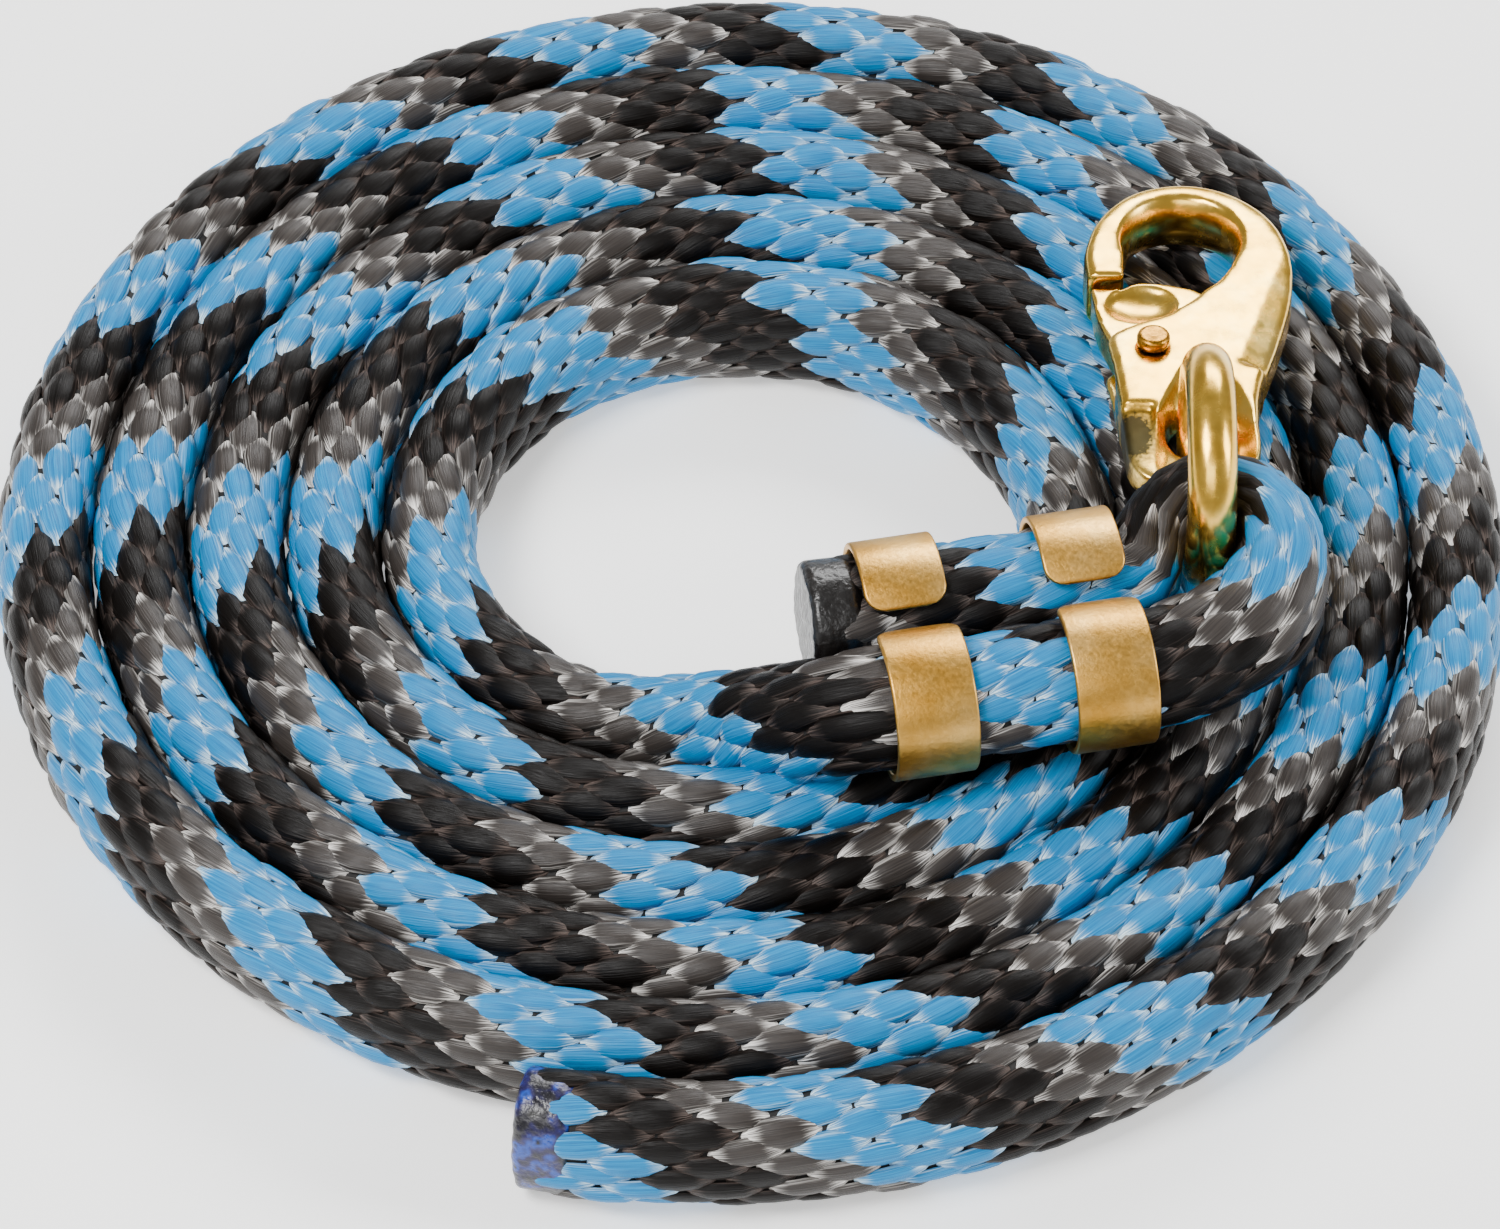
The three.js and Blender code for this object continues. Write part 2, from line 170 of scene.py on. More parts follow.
# centripetal Catmull-Rom: knots grow by the root of each chord, three rounds of straight mixing per point
def throughPoints(points, perSpan=12):
    p = np.vstack([2 * points[0] - points[1], points, 2 * points[-1] - points[-2]])
    knots = np.concatenate([[0], np.cumsum(np.linalg.norm(np.diff(p, axis=0), axis=1) ** 0.5)])
    t0, t1, t2, t3 = (knots[i:len(knots) - 3 + i, None, None] for i in range(4))
    p0, p1, p2, p3 = (p[i:len(p) - 3 + i, None, :] for i in range(4))
    t = t1 + (t2 - t1) * np.linspace(0, 1, perSpan, endpoint=False)[None, :, None]
    a1 = ((t1 - t) * p0 + (t - t0) * p1) / (t1 - t0)
    a2 = ((t2 - t) * p1 + (t - t1) * p2) / (t2 - t1)
    a3 = ((t3 - t) * p2 + (t - t2) * p3) / (t3 - t2)
    b1 = ((t2 - t) * a1 + (t - t0) * a2) / (t2 - t0)
    b2 = ((t3 - t) * a2 + (t - t1) * a3) / (t3 - t1)
    curve = ((t2 - t) * b1 + (t - t1) * b2) / (t2 - t1)
    return np.vstack([curve.reshape(-1, 3), points[-1]])


# the line again, its points a step apart
def spaced(line, step):
    along = np.concatenate([[0], np.cumsum(np.linalg.norm(np.diff(line, axis=0), axis=1))])
    at = np.linspace(0, along[-1], int(round(along[-1] / step)) + 1)
    return at, np.stack([np.interp(at, along, line[:, k]) for k in range(3)], axis=1)


# a running mean over a window, ends held
def smoothed(values, window):
    padded = np.concatenate([np.repeat(values[:1], window, 0), values, np.repeat(values[-1:], window, 0)])
    kernel = np.ones(2 * window + 1) / (2 * window + 1)
    columns = [np.convolve(padded[:, k], kernel, "same") for k in range(values.shape[1])]
    return np.stack(columns, axis=1)[window:-window]


ropeStep = 1.0 * mm
along, centre = spaced(np.vstack([spiralPoints(), throughPoints(eyeRoute)]), ropeStep)
ropeLength = float(along[-1])
eyeStart = float(along[np.linalg.norm(centre - eyeRoute[0], axis=1).argmin()])
tangent = smoothed(np.gradient(centre, axis=0), 2)
tangent /= np.linalg.norm(tangent, axis=1)[:, None]
sideways = np.cross(tangent, [0, 0, 1])   # outwards from the coil
sideways /= np.linalg.norm(sideways, axis=1)[:, None]
upwards = np.cross(sideways, tangent)
print(f"rope: {ropeLength:.3f} m on its centre line, the eye from {eyeStart:.3f} m")


cameraSetup = {"target": (0, -0.01173, 0.01118), "distance": 1.290, "elevation": 47.0, "lens": 179.3}


def makeCamera():
    e = math.radians(cameraSetup["elevation"])
    back = Vector((0, -math.cos(e), math.sin(e)))
    camera = bpy.data.objects.new("camera", bpy.data.cameras.new("camera"))
    camera.data.lens = cameraSetup["lens"]
    camera.data.sensor_width = 36
    camera.data.clip_start = 0.05
    camera.location = Vector(cameraSetup["target"]) + back * cameraSetup["distance"]
    camera.rotation_mode = "QUATERNION"
    camera.rotation_quaternion = back.to_track_quat("Z", "Y")
    bpy.context.scene.collection.objects.link(camera)
    bpy.context.scene.camera = camera


studio = {"world": "#f3f2ef", "worldStrength": 0.44, "aim": (0, 0, 0.02),
          "floor": -0.4 * mm, "floorReach": 3, "floorGlow": 0.5,
          # each light's place, size and watts
          "lights": {"keyLight": ((-0.5, -0.35, 0.95), (0.5, 0.4), 17),
                     "backLight": ((0.25, 0.85, 0.7), (0.8, 0.35), 14),
                     "sideLight": ((0.95, -0.1, 0.45), (0.3, 0.5), 6),
                     "frontLight": ((-0.25, -1.25, 1.0), (1.1, 0.6), 8)}}


def areaLight(name, place, size, watts):
    light = bpy.data.objects.new(name, bpy.data.lights.new(name, "AREA"))
    light.data.shape = "RECTANGLE"
    light.data.size, light.data.size_y = size
    light.data.energy = watts
    light.location = place
    light.rotation_mode = "QUATERNION"
    light.rotation_quaternion = (Vector(place) - Vector(studio["aim"])).to_track_quat("Z", "Y")
    bpy.context.scene.collection.objects.link(light)


def makeStudio():
    world = bpy.data.worlds.new("studio")
    world.use_nodes = True
    background = world.node_tree.nodes["Background"]
    background.inputs["Color"].default_value = hexColour(studio["world"])
    background.inputs["Strength"].default_value = studio["worldStrength"]
    bpy.context.scene.world = world
    for name, (place, size, watts) in studio["lights"].items():
        areaLight(name, place, size, watts)
    paper = newMaterial("paperWhite", Base_Color=hexColour("#fbfbfa"), Roughness=0.8,
                        Emission_Color=hexColour("#ffffff"), Emission_Strength=studio["floorGlow"])[0]
    corners = np.array([[-1, -1, 0], [1, -1, 0], [1, 1, 0], [-1, 1, 0]], float) * studio["floorReach"]
    corners[:, 2] = studio["floor"]
    floor = meshObject("floor", corners, [[0, 1, 2, 3]], paper, smooth=False)


makeCamera()
makeStudio()
print("camera, lights and floor are in")


rope = {"halfWide": 8.4 * mm, "halfTall": 11.6 * mm, "squareness": 2.5,   # squeezed between its turns
        "eyeHalfWide": 10.4 * mm, "eyeHalfTall": 10.4 * mm, "eyeSquareness": 2.05,   # free in the eye
        "crown": 1.3 * mm,   # height of a stitch over the core
        "wales": 19, "pitchesPerTurn": 8, "stitchPitch": 51.67 / 4 * mm, "period": 51.67 * mm,
        "bands": (0.375, 0.375),   # blue's and black's share of a period; grey has the rest
        "easeFrom": 10 * mm, "easeOver": 50 * mm,   # from coil to eye: where it starts and how long it takes
        "fused": 5 * mm, "ringPress": 1.2, "least": 5.5 * mm,
        # twist left in the rope by coiling it: metres along, and how far the bands have slipped there, in mm
        "twist": ((0, -2), (0.5, 1.5), (0.85, 5), (1.18, 15.5), (1.4, 31), (1.73, 57.5), (1.95, 57),
                  (2.17, 88), (2.39, 127), (2.72, 153), (2.92, 174), (3.07, 198))}
ring = {"radius": 16.8 * mm, "bar": 4.2 * mm, "rows": 144, "columns": 36,
        "centre": np.array(joints["ring_turn"]["pos_m"], float)}


# how the section changes along the rope: x^2 (3 - 2 x) from coil to eye, then drawn in beside the ring's bar
def sectionSizes():
    x = np.clip((along - eyeStart - rope["easeFrom"]) / rope["easeOver"], 0, 1)
    inEye = x * x * (3 - 2 * x)
    wide = rope["halfWide"] + (rope["eyeHalfWide"] - rope["halfWide"]) * inEye
    tall = rope["halfTall"] + (rope["eyeHalfTall"] - rope["halfTall"]) * inEye
    power = rope["squareness"] + (rope["eyeSquareness"] - rope["squareness"]) * inEye
    away = centre - ring["centre"]
    room = np.hypot(away[:, 0], np.hypot(away[:, 1], away[:, 2]) - ring["radius"]) - ring["bar"]
    room = np.maximum(room, rope["least"])
    wide = np.minimum(wide, room)
    tall = np.minimum(tall, room * rope["ringPress"])
    soft = smoothed(np.stack([wide, tall, power, inEye], axis=1), 4)
    return soft.T


halfWide, halfTall, squareness, inEye = sectionSizes()


# angle round the section at which each equal share of the oval's edge ends (0 outwards, a quarter up)
def ovalAngles(count=721):
    t = np.linspace(0, 2 * np.pi, count)
    n = rope["squareness"]
    r = (np.abs(np.cos(t) / rope["halfWide"]) ** n + np.abs(np.sin(t) / rope["halfTall"]) ** n) ** (-1 / n)
    edge = np.stack([r * np.cos(t), r * np.sin(t)], axis=1)
    walked = np.concatenate([[0], np.cumsum(np.linalg.norm(np.diff(edge, axis=0), axis=1))])
    return walked / walked[-1], t


ovalShare, ovalAngle = ovalAngles()


# rows of values, one for each point of the centre line, read off at s metres along
def at(s, values):
    return np.stack([np.interp(s, along, values[:, k]) for k in range(3)], axis=-1)


# a point of the rope: s metres along, share 0..1 round the section, lift metres off the core's surface.
# section radius r = (|cos/a|^n + |sin/b|^n)^(-1/n), moved out along the section's own normal
def ropePoint(s, share, lift):
    share = share + twistAt(s)
    whole = np.floor(share)
    flat = np.interp(share - whole, ovalShare, ovalAngle)
    inside = np.interp(s, along, inEye)
    phi = flat + (2 * np.pi * (share - whole) - flat) * inside
    a = np.interp(s, along, halfWide) - rope["crown"]
    b = np.interp(s, along, halfTall) - rope["crown"]
    n = np.interp(s, along, squareness)
    c, d = np.cos(phi), np.sin(phi)
    r = (np.abs(c / a) ** n + np.abs(d / b) ** n) ** (-1 / n)
    nx = signedPower(c, n - 1) / a ** n
    ny = signedPower(d, n - 1) / b ** n
    size = np.hypot(nx, ny)
    x = r * c + lift * nx / size
    y = r * d + lift * ny / size
    return at(s, centre) + at(s, sideways) * x[..., None] + at(s, upwards) * y[..., None]


# multifilament polypropylene, braided: the white sheen where a stitch dips under its neighbours is a painted
# highlight, mixed into the base colour. UV runs along (x) and across (y) a stitch; "strand" is one random
# number for each
def yarnMaterial(name, base, deep, paintedSheen, paintedSheenShare, gloss):
    material, tree, shader = newMaterial(name, Roughness=0.38, IOR=1.49, Specular_IOR_Level=gloss)
    uv = addNode(tree, "ShaderNodeUVMap", {"uv_map": "stitchMap"})
    split = addNode(tree, "ShaderNodeSeparateXYZ", Vector=uv.outputs["UV"]).outputs
    strand = addNode(tree, "ShaderNodeAttribute", {"attribute_name": "strand"}).outputs["Fac"]
    # streaks: noise stretched along the stitch, about 20 lines across its 6 mm (real filaments are finer)
    shift = addMath(tree, "MULTIPLY", strand, 57.0)
    lengthwise = addMath(tree, "MULTIPLY_ADD", split["X"], 1.6, shift)
    crosswise = addMath(tree, "MULTIPLY", split["Y"], 20.0)
    place = addNode(tree, "ShaderNodeCombineXYZ", X=lengthwise, Y=crosswise, Z=shift)
    streak = addNoise(tree, place.outputs[0], 1.3, 3.0, 0.6)
    # painted highlight: white sheen painted into the colour from both tips, less from the rims, its edge
    # made ragged by the streaks
    tips = addMath(tree, "ABSOLUTE", addMath(tree, "SUBTRACT", split["X"], 0.5))
    rims = addMath(tree, "ABSOLUTE", addMath(tree, "SUBTRACT", split["Y"], 0.5))
    reach = addMath(tree, "MAXIMUM", tips, addMath(tree, "MULTIPLY", rims, 0.4))
    wander = addMath(tree, "MULTIPLY_ADD", streak, 0.22, reach)
    edge = addRange(tree, wander, (0.235, 0.42), (0.0, 1.0), smooth=True)
    glint = addRange(tree, streak, (0.42, 0.6), (0.12, 1.0))
    share = addMath(tree, "MULTIPLY", addMath(tree, "MULTIPLY", edge, glint), paintedSheenShare)
    body = addRamp(tree, streak, [(0.3, deep), (0.62, base)])
    tree.links.new(addMix(tree, share, body, paintedSheen), shader.inputs["Base Color"])
    addBump(tree, shader, streak, 0.6, 0.25 * mm)
    return material


# each yarn's own colours, then the colour of the highlight painted at its stitch tips and how much of it is
# mixed in
yarns = {
    "blue": {"base": "#0080b8", "deep": "#005a90", "paintedSheen": "#e2f8ff", "paintedSheenShare": 1.0, "gloss": 0.16},
    "black": {"base": "#0a0706", "deep": "#050302", "paintedSheen": "#8d7b73", "paintedSheenShare": 0.38, "gloss": 0.14},
    "grey": {"base": "#36312e", "deep": "#201c1a", "paintedSheen": "#fffaf4", "paintedSheenShare": 0.95, "gloss": 0.28},
}


# the braid that lies under the stitches: rough, and near-black as painted shade for the gaps between them
def coreMaterial():
    material, tree, shader = newMaterial("braidInPaintedShade", Roughness=0.8, IOR=1.49)
    place = addNode(tree, "ShaderNodeTexCoord").outputs["Object"]
    noise = addNoise(tree, place, 900.0)
    tree.links.new(addRamp(tree, noise, [(0.35, "#0a0908"), (0.7, "#1d1a19")]), shader.inputs["Base Color"])
    addBump(tree, shader, noise, 0.5, 0.3 * mm)
    return material


stitch = {"halfLength": 7.5 * mm, "halfWidth": 3.0 * mm, "tipWidth": 0.35 * mm, "sink": 1.0 * mm,
          "under": 0.9 * mm,   # how far below the core's surface it closes
          "rows": 9, "columns": 6, "slant": 0.10, "skew": 0.15,
          "uneven": {"length": 0.05, "width": 0.05, "crown": 0.16, "slant": 0.05},
          "drawn": 0.75, "drawnReach": 17 * mm,   # strands pulled long beside the ring
          "girth": 63.5 * mm}   # the section's edge, about the same for the oval and the round
ringAt = along[np.linalg.norm(centre - ring["centre"], axis=1).argmin()]


# where every stitch sits: each wale holds one stitch a pitch, the next wale a share of a pitch further on
def stitchCentres():
    wales = rope["wales"]
    count = int(ropeLength / rope["stitchPitch"]) + 2
    wale, k = np.meshgrid(np.arange(wales), np.arange(-1, count), indexing="ij")
    offset = (wale * rope["pitchesPerTurn"] / wales) % 1
    s = ((k + offset) * rope["stitchPitch"]).ravel()
    share = ((wale + 0.5) / wales).ravel()
    keep = (s > rope["fused"] + 1.5 * mm) & (s < ropeLength - rope["fused"] - 1.5 * mm)
    return s[keep], share[keep]


# bands wind once round the rope in a period: phase = s / period + (share - 1/4) + half the blue band;
# gives 0 for blue, 1 for black and 2 for grey
def yarnOf(s, share):
    blue, black = rope["bands"]
    phase = (s / rope["period"] + share - 0.25 + blue / 2) % 1
    return np.where(phase < blue, 0, np.where(phase < blue + black, 1, 2))


# turns of twist at s: the bands' slip over their period, a smooth run through the points above
def twistAt(s):
    place, slip = np.array(rope["twist"]).T
    fine = np.linspace(0, place[-1], 400)
    run = smoothed(np.interp(fine, place, slip * mm)[:, None], 12)[:, 0]
    return np.interp(s, fine, run) / rope["period"]


# every stitch: half width = tip + (half - tip)(1 - |u|^2.2)^0.8, height = crown (1 - |u|^2.6)^0.7
# (1 - 0.62 v^2) - sink |u|^3, closed underneath by a fan to one point below the middle
def stitches(s, share, rng):
    rows, columns = stitch["rows"], stitch["columns"]
    u = np.sin(np.linspace(-1, 1, rows) * np.pi / 2)[:, None] + np.zeros(columns)
    v = np.linspace(-1, 1, columns)[None, :] + np.zeros((rows, 1))
    n = len(s)
    uneven = stitch["uneven"]
    drawn = 1 + stitch["drawn"] * np.exp(-((s - ringAt) / stitch["drawnReach"]) ** 2)
    length = stitch["halfLength"] * (drawn * (1 + uneven["length"] * rng.standard_normal(n)))[:, None, None]
    wide = stitch["halfWidth"] * (1 + uneven["width"] * rng.standard_normal(n))[:, None, None]
    crown = rope["crown"] * (1 + uneven["crown"] * rng.standard_normal(n))[:, None, None]
    lean = (stitch["slant"] + uneven["slant"] * rng.standard_normal(n))[:, None, None]
    outline = stitch["tipWidth"] + (wide - stitch["tipWidth"]) * (1 - np.abs(u) ** 2.2) ** 0.8
    across = outline * v + lean * length * u
    lift = crown * (1 - np.abs(u) ** 2.6) ** 0.7 * (1 - 0.62 * v * v) - stitch["sink"] * np.abs(u) ** 3
    sThere = s[:, None, None] + length * u - stitch["skew"] * across
    top = ropePoint(sThere, share[:, None, None] + across / stitch["girth"], lift)
    under = ropePoint(s, share, np.full(n, -stitch["under"]))[:, None, :]
    return np.concatenate([top.reshape(n, rows * columns, 3), under], axis=1)


def stitchFaces():
    rows, columns = stitch["rows"], stitch["columns"]
    quads = np.array(gridFaces(rows, columns, closed=False))
    index = np.arange(rows * columns).reshape(rows, columns)
    rim = np.concatenate([index[0, :-1], index[:-1, -1], index[-1, :0:-1], index[:0:-1, 0]])
    fan = np.stack([np.roll(rim, -1), rim, np.full(len(rim), rows * columns)], axis=1)
    return quads, fan


def makeYarn(name, settings, s, share, rng):
    material = yarnMaterial(f"{name}PolypropyleneYarn", **settings)
    points = stitches(s, share, rng)
    quads, fan = stitchFaces()
    size = points.shape[1]
    start = (np.arange(len(s)) * size)[:, None, None]
    faces = (quads + start).reshape(-1, 4)[:, ::-1].tolist()
    faces += (fan + start).reshape(-1, 3)[:, ::-1].tolist()
    piece = meshObject(f"{name}_yarn", points, faces, material)
    rows, columns = stitch["rows"], stitch["columns"]
    u = np.repeat(np.linspace(0, 1, rows), columns)
    v = np.tile(np.linspace(0, 1, columns), rows)
    perPoint = np.tile(np.stack([np.append(u, 0.5), np.append(v, 0.5)], axis=1), (len(s), 1))
    corner = np.zeros(len(piece.data.loops), np.int32)
    piece.data.loops.foreach_get("vertex_index", corner)
    layer = piece.data.uv_layers.new(name="stitchMap")
    layer.data.foreach_set("uv", perPoint[corner].astype(np.float32).ravel())
    strand = piece.data.attributes.new("strand", "FLOAT", "POINT")
    strand.data.foreach_set("value", np.repeat(rng.random(len(s)), size).astype(np.float32))
    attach(piece, "rope")
    return piece


# the dark tube under the stitches: rings of the same section, closed by a fan at both ends
def makeCore():
    sides = 20
    s = np.arange(rope["fused"] - 1.5 * mm, ropeLength - rope["fused"] + 1.5 * mm, 3 * mm)
    share = np.arange(sides) / sides
    points = ropePoint(s[:, None] + 0 * share, share + 0 * s[:, None], np.full((len(s), sides), 0.05 * mm))
    ends = np.stack([points[0].mean(0), points[-1].mean(0)])
    side = np.arange(sides)
    nextSide = (side + 1) % sides
    first = len(s) * sides
    lastRow = first - sides
    faces = gridFaces(len(s), sides)
    faces += np.stack([first + 0 * side, nextSide, side], axis=1).tolist()
    faces += np.stack([first + 1 + 0 * side, lastRow + side, lastRow + nextSide], axis=1).tolist()
    piece = meshObject("braid_core", np.vstack([points.reshape(-1, 3), ends]), faces, coreMaterial())
    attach(piece, "rope")
    return piece


def makeRope():
    rng = np.random.default_rng(7)
    s, share = stitchCentres()
    yarn = yarnOf(s, share)
    made = [makeYarn(name, yarns[name], s[yarn == i], share[yarn == i], rng)
            for i, name in enumerate(yarns)]
    core = makeCore()
    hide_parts("rope_coil", "rope_tail", "rope_eye")
    print("rope:", len(s), "stitches of three yarns")


makeRope()


# hot-cut and melted polypropylene: black with a blue run of melt, glossy
def meltMaterial(name, patches):
    material, tree, shader = newMaterial(name, IOR=1.49, Coat_Weight=0.12, Coat_Roughness=0.2)
    place = addNode(tree, "ShaderNodeTexCoord").outputs["Object"]
    broad = addNoise(tree, place, 130.0, 3.0, 0.6)
    fine = addNoise(tree, place, 700.0, 3.0)
    tree.links.new(addRamp(tree, broad, patches), shader.inputs["Base Color"])
    tree.links.new(addRange(tree, fine, (0.0, 1.0), (0.12, 0.55)), shader.inputs["Roughness"])
    addBump(tree, shader, fine, 0.6, 0.6 * mm)
    return material


meltedEnd = {"length": 9 * mm, "rim": 1.6 * mm, "sides": 48, "swell": 2 * mm, "lump": 0.15 * mm}


# end cap: the rope's own section run out to the cut, its rim rounded by a quarter circle, a few lumps on it
def makeMeltedEnd(name, node, ends, material):
    fromS, tipS = ends
    inward = 1 if tipS < fromS else -1
    run = np.linspace(0, 1, 9)
    rim = np.linspace(0, np.pi / 2, 7)[1:]
    face = np.linspace(1, 0, 8)[1:]
    radius = meltedEnd["rim"]
    depth = abs(fromS - tipS) - radius
    away = np.concatenate([run * depth, depth + radius * np.sin(rim), np.full(len(face), depth + radius)])
    drawn = np.concatenate([0 * run, radius * (1 - np.cos(rim)), np.full(len(face), radius)])
    scale = np.concatenate([np.ones(len(run) + len(rim)), face])
    side = np.arange(meltedEnd["sides"])
    share = side / meltedEnd["sides"]
    s = np.clip(fromS - inward * away, 0, ropeLength)
    lift = rope["crown"] * np.clip(away / meltedEnd["swell"], 0.15, 0.75) - drawn
    skin = ropePoint(s[:, None] + 0 * share, share + 0 * s[:, None], lift[:, None] + 0 * share)
    middle = at(s, centre)[:, None, :]
    points = middle + (skin - middle) * scale[:, None, None]
    lump = np.sin(points @ np.array([900.0, 700, 500])) * np.sin(points @ np.array([-400.0, 800, 1100]))
    lump *= meltedEnd["lump"] * (away > depth * 0.6)[:, None]
    points = points + at(tipS, tangent) * -inward * lump[..., None]
    faces = gridFaces(len(s), len(side))
    faces.append(side[::-1].tolist())
    faces = [f[::-1] if inward > 0 else f for f in faces]
    piece = meshObject(name, points, faces, material)
    weld(piece, 0.02 * mm)
    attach(piece, "rope")
    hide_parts(node)


# merges doubled points, then turns every face outwards
def weld(piece, distance):
    work = bmesh.new()
    work.from_mesh(piece.data)
    bmesh.ops.remove_doubles(work, verts=work.verts, dist=distance)
    bmesh.ops.recalc_face_normals(work, faces=work.faces)
    work.to_mesh(piece.data)
    work.free()


blueMelt = meltMaterial("meltedBlueAndBlack", [(0.42, "#040304"), (0.5, "#0a0818"), (0.56, "#140f48"),
                                               (0.62, "#0c3c98"), (0.68, "#060507")])
blackMelt = meltMaterial("meltedBlack", [(0.35, "#060505"), (0.6, "#100d0c"), (0.75, "#2a2420")])
makeMeltedEnd("outer_melted_end", "rope_outer_fused_end", (meltedEnd["length"], 0.0),
              blueMelt)
makeMeltedEnd("inner_melted_end", "rope_inner_fused_end",
              (ropeLength - meltedEnd["length"], ropeLength), blackMelt)
print("melted ends are on")


# brass, and the spring's steel: broad noise drifts the colour between three tones, fine noise (grain, its
# scale) varies the polish and dents the surface, dark brown where it turns inwards is tarnish with painted
# shade in the hollows; the dark patch is given as its middle and half sizes in mm, stain the height of the
# green bloom
def brassMaterial(name, tones, polish, grain, dents, tarnishAndShade, stain=None, darkPatch=None):
    material, tree, shader = newMaterial(name, Metallic=1.0, IOR=1.45)
    place = addNode(tree, "ShaderNodeTexCoord").outputs["Object"]
    broad = addNoise(tree, place, 90.0, 4.0, 0.6)
    fine = addNoise(tree, place, grain, 4.0, 0.65)
    colour = addRamp(tree, broad, [(0.3, tones[0]), (0.5, tones[1]), (0.68, tones[2])])
    # tarnish and painted shade: dark brown mixed in where pointiness says the surface turns inwards
    hollow = addNode(tree, "ShaderNodeNewGeometry").outputs["Pointiness"]
    colour = addMix(tree, addRange(tree, hollow, (0.44, 0.5), (tarnishAndShade, 0.0)), colour, "#4a2f10")
    if stain:   # green-blue bloom over the lowest part, broken up by the broad noise
        height = addNode(tree, "ShaderNodeSeparateXYZ", Vector=place).outputs["Z"]
        ragged = addMath(tree, "MULTIPLY_ADD", broad, 12 * mm, height)
        low = addRange(tree, ragged, (stain + 6 * mm, stain - 1 * mm), (0.0, 0.6))
        colour = addMix(tree, low, colour, "#5f9a86")
    rough = addRange(tree, fine, (0.3, 0.7), polish)
    if darkPatch:   # dark and rougher in an egg-shaped patch, |(x - middle) / size| under 1
        middle, size = (np.array(v) * mm for v in darkPatch)
        there = addNode(tree, "ShaderNodeMapping", Vector=place, Scale=tuple(1 / size),
                        Location=tuple(-middle * (1 / size)))
        reach = addNode(tree, "ShaderNodeVectorMath", {"operation": "LENGTH"},
                        Vector=there.outputs[0]).outputs["Value"]
        ragged = addMath(tree, "MULTIPLY_ADD", addNoise(tree, place, 1500.0), 0.5, reach)
        patch = addRange(tree, ragged, (1.0, 1.45), (0.95, 0.0))
        colour = addMix(tree, patch, colour, "#101a16")
        rough = addMath(tree, "MULTIPLY_ADD", patch, 0.3, rough)
    tree.links.new(colour, shader.inputs["Base Color"])
    tree.links.new(rough, shader.inputs["Roughness"])
    addBump(tree, shader, fine, dents, 0.2 * mm)
    return material


paleTones = ("#dca838", "#e9bb4c", "#f1cd70")
polishedBrass = brassMaterial("polishedCastBrass", paleTones, (0.16, 0.32),
                              grain=260.0, dents=0.12, tarnishAndShade=0.75)
castBrass = brassMaterial("castBrassBody", paleTones, (0.16, 0.32), grain=260.0, dents=0.12, tarnishAndShade=0.45,
                          darkPatch=((66, 4.5, 36), (4.5, 7.5, 6)))
satinBrass = brassMaterial("satinBrassStrip", ("#bc8832", "#cf9e4a", "#deb264"), (0.3, 0.48),
                           grain=1400.0, dents=0.35, tarnishAndShade=0.3, stain=31.5 * mm)
brownBrass = brassMaterial("tarnishedBrassRivet", ("#8c5c18", "#b07e2c", "#cfa24c"), (0.18, 0.38),
                           grain=900.0, dents=0.5, tarnishAndShade=0.6)
springSteel = brassMaterial("drawnSpringSteel", ("#8d9092", "#a2a5a8", "#b4b7b9"), (0.22, 0.4),
                            grain=1800.0, dents=0.2, tarnishAndShade=0.2)


strap = {"reach": 10.6 * mm, "radius": 11.9 * mm, "from": 48, "to": 270,
         "width": 14 * mm, "thick": 1.2 * mm,
         "corner": 3.4 * mm, "edge": 0.45 * mm, "turn": 11.3,
         "places": {"strap_left": (26.9, -44.5, 36.2), "strap_right": (56.9, -38.5, 36.3)}}


# a strip over both runs: two arcs (x = -+reach + r cos a, y = r sin a) joined by a flat underneath
def strapPath():
    a = np.radians(np.concatenate([np.linspace(strap["from"], strap["from"] + 24, 14),
                                   np.linspace(strap["from"] + 26, strap["to"], 60)]))
    x = -strap["reach"] + strap["radius"] * np.cos(a)
    half = np.stack([x, strap["radius"] * np.sin(a)], axis=1)
    return np.vstack([half, half[::-1] * [-1, 1]])


# half width towards each end: half - R + sqrt(R^2 - (R - d)^2) over the last R of the strip's length; the
# section is a rectangle with quarter circles for corners
def makeStrap(name, node):
    path = strapPath()
    walked = np.concatenate([[0], np.cumsum(np.linalg.norm(np.diff(path, axis=0), axis=1))])
    d = np.minimum(walked, walked[-1] - walked)
    radius = strap["corner"]
    short = np.clip(radius - d, 0, radius)
    half = strap["width"] / 2 - radius + np.sqrt(radius ** 2 - short ** 2)
    heading = np.gradient(path, axis=0)
    heading /= np.linalg.norm(heading, axis=1)[:, None]
    outwards = np.stack([heading[:, 1], -heading[:, 0]], axis=1)
    outwards *= -np.sign(np.cross(heading[5], path[5] + [strap["reach"], 0]))
    arc = np.radians(np.linspace(0, 90, 5))
    corners = np.concatenate([arc + k * np.pi / 2 for k in range(4)])
    signX = np.repeat([1, -1, -1, 1], len(arc))
    signY = np.repeat([1, 1, -1, -1], len(arc))
    edge = strap["edge"]
    b = (half[:, None] - edge) * signX + edge * np.cos(corners)
    t = (strap["thick"] / 2 - edge) * signY + edge * np.sin(corners)
    x = path[:, 0, None] + outwards[:, 0, None] * t
    y = path[:, 1, None] + outwards[:, 1, None] * t
    turn = math.radians(strap["turn"])
    place = np.array(strap["places"][node]) * mm
    points = np.stack([place[0] + b * math.cos(turn) - x * math.sin(turn),
                       place[1] + b * math.sin(turn) + x * math.cos(turn),
                       place[2] + y + 0 * b], axis=-1)
    sides = len(corners)
    faces = gridFaces(len(path), sides)
    last = (len(path) - 1) * sides
    faces += [list(range(sides))[::-1], list(range(last, last + sides))]
    piece = meshObject(name, points, faces, satinBrass)
    weld(piece, 0.01 * mm)
    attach(piece, "rope")
    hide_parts(node)


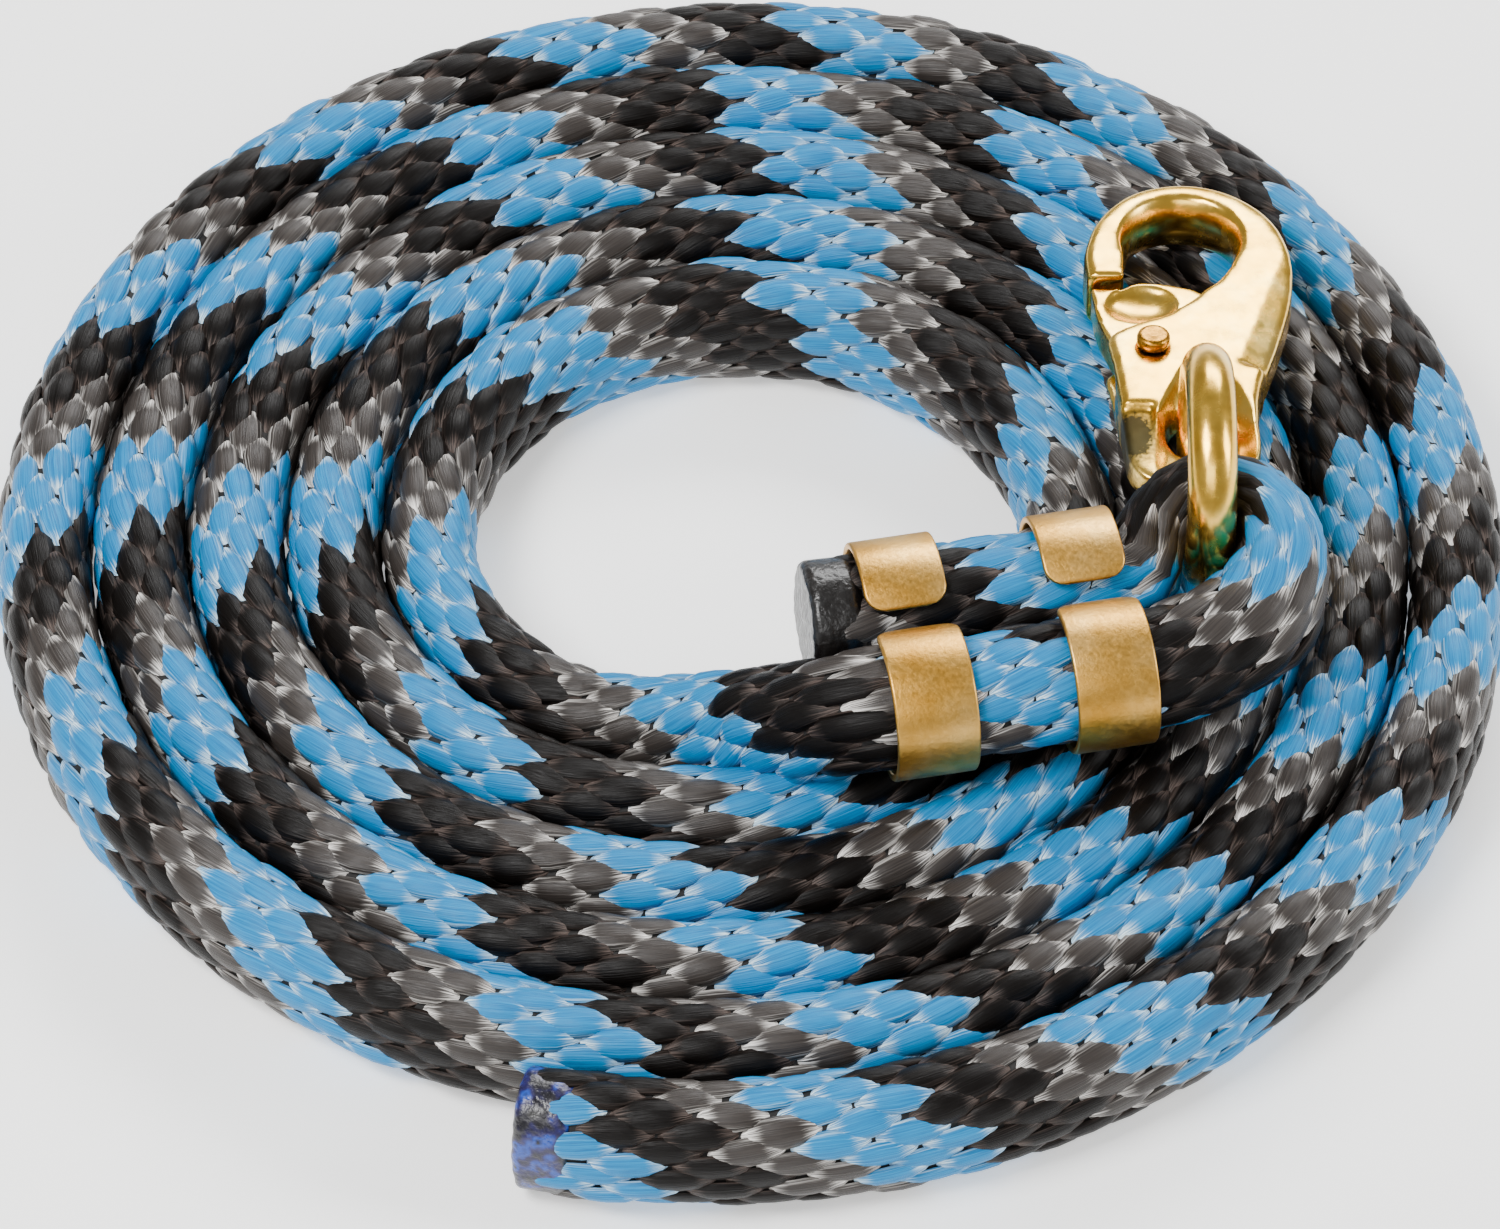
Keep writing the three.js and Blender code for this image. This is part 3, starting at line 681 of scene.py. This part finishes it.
# the ring: a torus, ring angle u and bar angle v
def makeRing():
    rows, columns = ring["rows"], ring["columns"]
    u = np.linspace(0, 2 * np.pi, rows, endpoint=False)[:, None]
    v = np.linspace(0, 2 * np.pi, columns, endpoint=False)[None, :]
    reach = ring["radius"] + ring["bar"] * np.cos(v)
    away = np.stack([ring["bar"] * np.sin(v) + 0 * u, reach * np.cos(u), reach * np.sin(u)], axis=-1)
    points = ring["centre"] + away
    faces = (np.array(gridFaces(rows + 1, columns)) % (rows * columns)).tolist()
    piece = meshObject("brass_ring", points, faces, polishedBrass)
    weld(piece, 0.01 * mm)
    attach(piece, "ring")
    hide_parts("snap_ring")


castBody = {"node": "snap_body", "body": "snap", "voxel": 0.42 * mm, "rounds": 28}
castTongue = {"node": "snap_tongue", "body": "tongue", "voxel": 0.4 * mm, "rounds": 9}


# a cast piece: the design's own solid, its facets melted together by a fine remesh and rounds of smoothing
def makeCasting(name, settings, material):
    piece = bpy.data.objects.new(name, nodes[settings["node"]].data.copy())
    bpy.context.scene.collection.objects.link(piece)
    weld(piece, 0.005 * mm)
    remesh = piece.modifiers.new("remesh", "REMESH")
    remesh.mode = "VOXEL"
    remesh.voxel_size = settings["voxel"]
    remesh.use_smooth_shade = True
    soften = piece.modifiers.new("soften", "SMOOTH")
    soften.iterations = settings["rounds"]
    soften.factor = 0.5
    finished = piece.evaluated_get(bpy.context.evaluated_depsgraph_get())
    mesh = bpy.data.meshes.new_from_object(finished)
    piece.modifiers.clear()
    piece.data = mesh
    mesh.materials.clear()
    mesh.materials.append(material)
    mesh.polygons.foreach_set("use_smooth", np.full(len(mesh.polygons), True))
    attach(piece, settings["body"])
    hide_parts(settings["node"])
    print(f"{name}: {len(mesh.polygons)} faces")


rivet = {"axis": (0, 0.08716, 0.99619), "at": (69.9, 25.60, 33.51),
         "profile": [[0, 8.1], [0.9, 8.12], [1.7, 8.28], [2.3, 8.24], [2.7, 7.98], [2.88, 7.6], [2.9, 7],
                     [2.85, 6.2], [2.7, 6.06], [2, 6.05], [2, -6.05], [2.7, -6.06], [2.9, -6.2],
                     [2.75, -6.75], [2.2, -7.1], [0, -7.25]]}


# the rivet: its profile (radius, height) turned round its own axis
def makeRivet():
    radius, height = np.array(rivet["profile"]).T * mm
    a = np.linspace(0, 2 * np.pi, 40, endpoint=False)
    w = np.array(rivet["axis"])
    x = np.array([1.0, 0, 0])
    y = np.cross(w, x)
    spin = np.cos(a)[:, None] * x + np.sin(a)[:, None] * y
    points = np.array(rivet["at"]) * mm + radius[:, None, None] * spin + height[:, None, None] * w
    piece = meshObject("rivet_turned", points, gridFaces(len(radius), 40), brownBrass)
    weld(piece, 0.005 * mm)
    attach(piece, "snap")
    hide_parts("snap_rivet")


makeStrap("strip_left", "strap_left")
makeStrap("strip_right", "strap_right")
makeRing()
makeCasting("cast_body", castBody, castBrass)
makeCasting("cast_tongue", castTongue, polishedBrass)
makeRivet()
springSlots = nodes["snap_tongue_spring"].data.materials
springSlots.clear()
springSlots.append(springSteel)
print("straps, ring, snap, tongue and rivet are in")
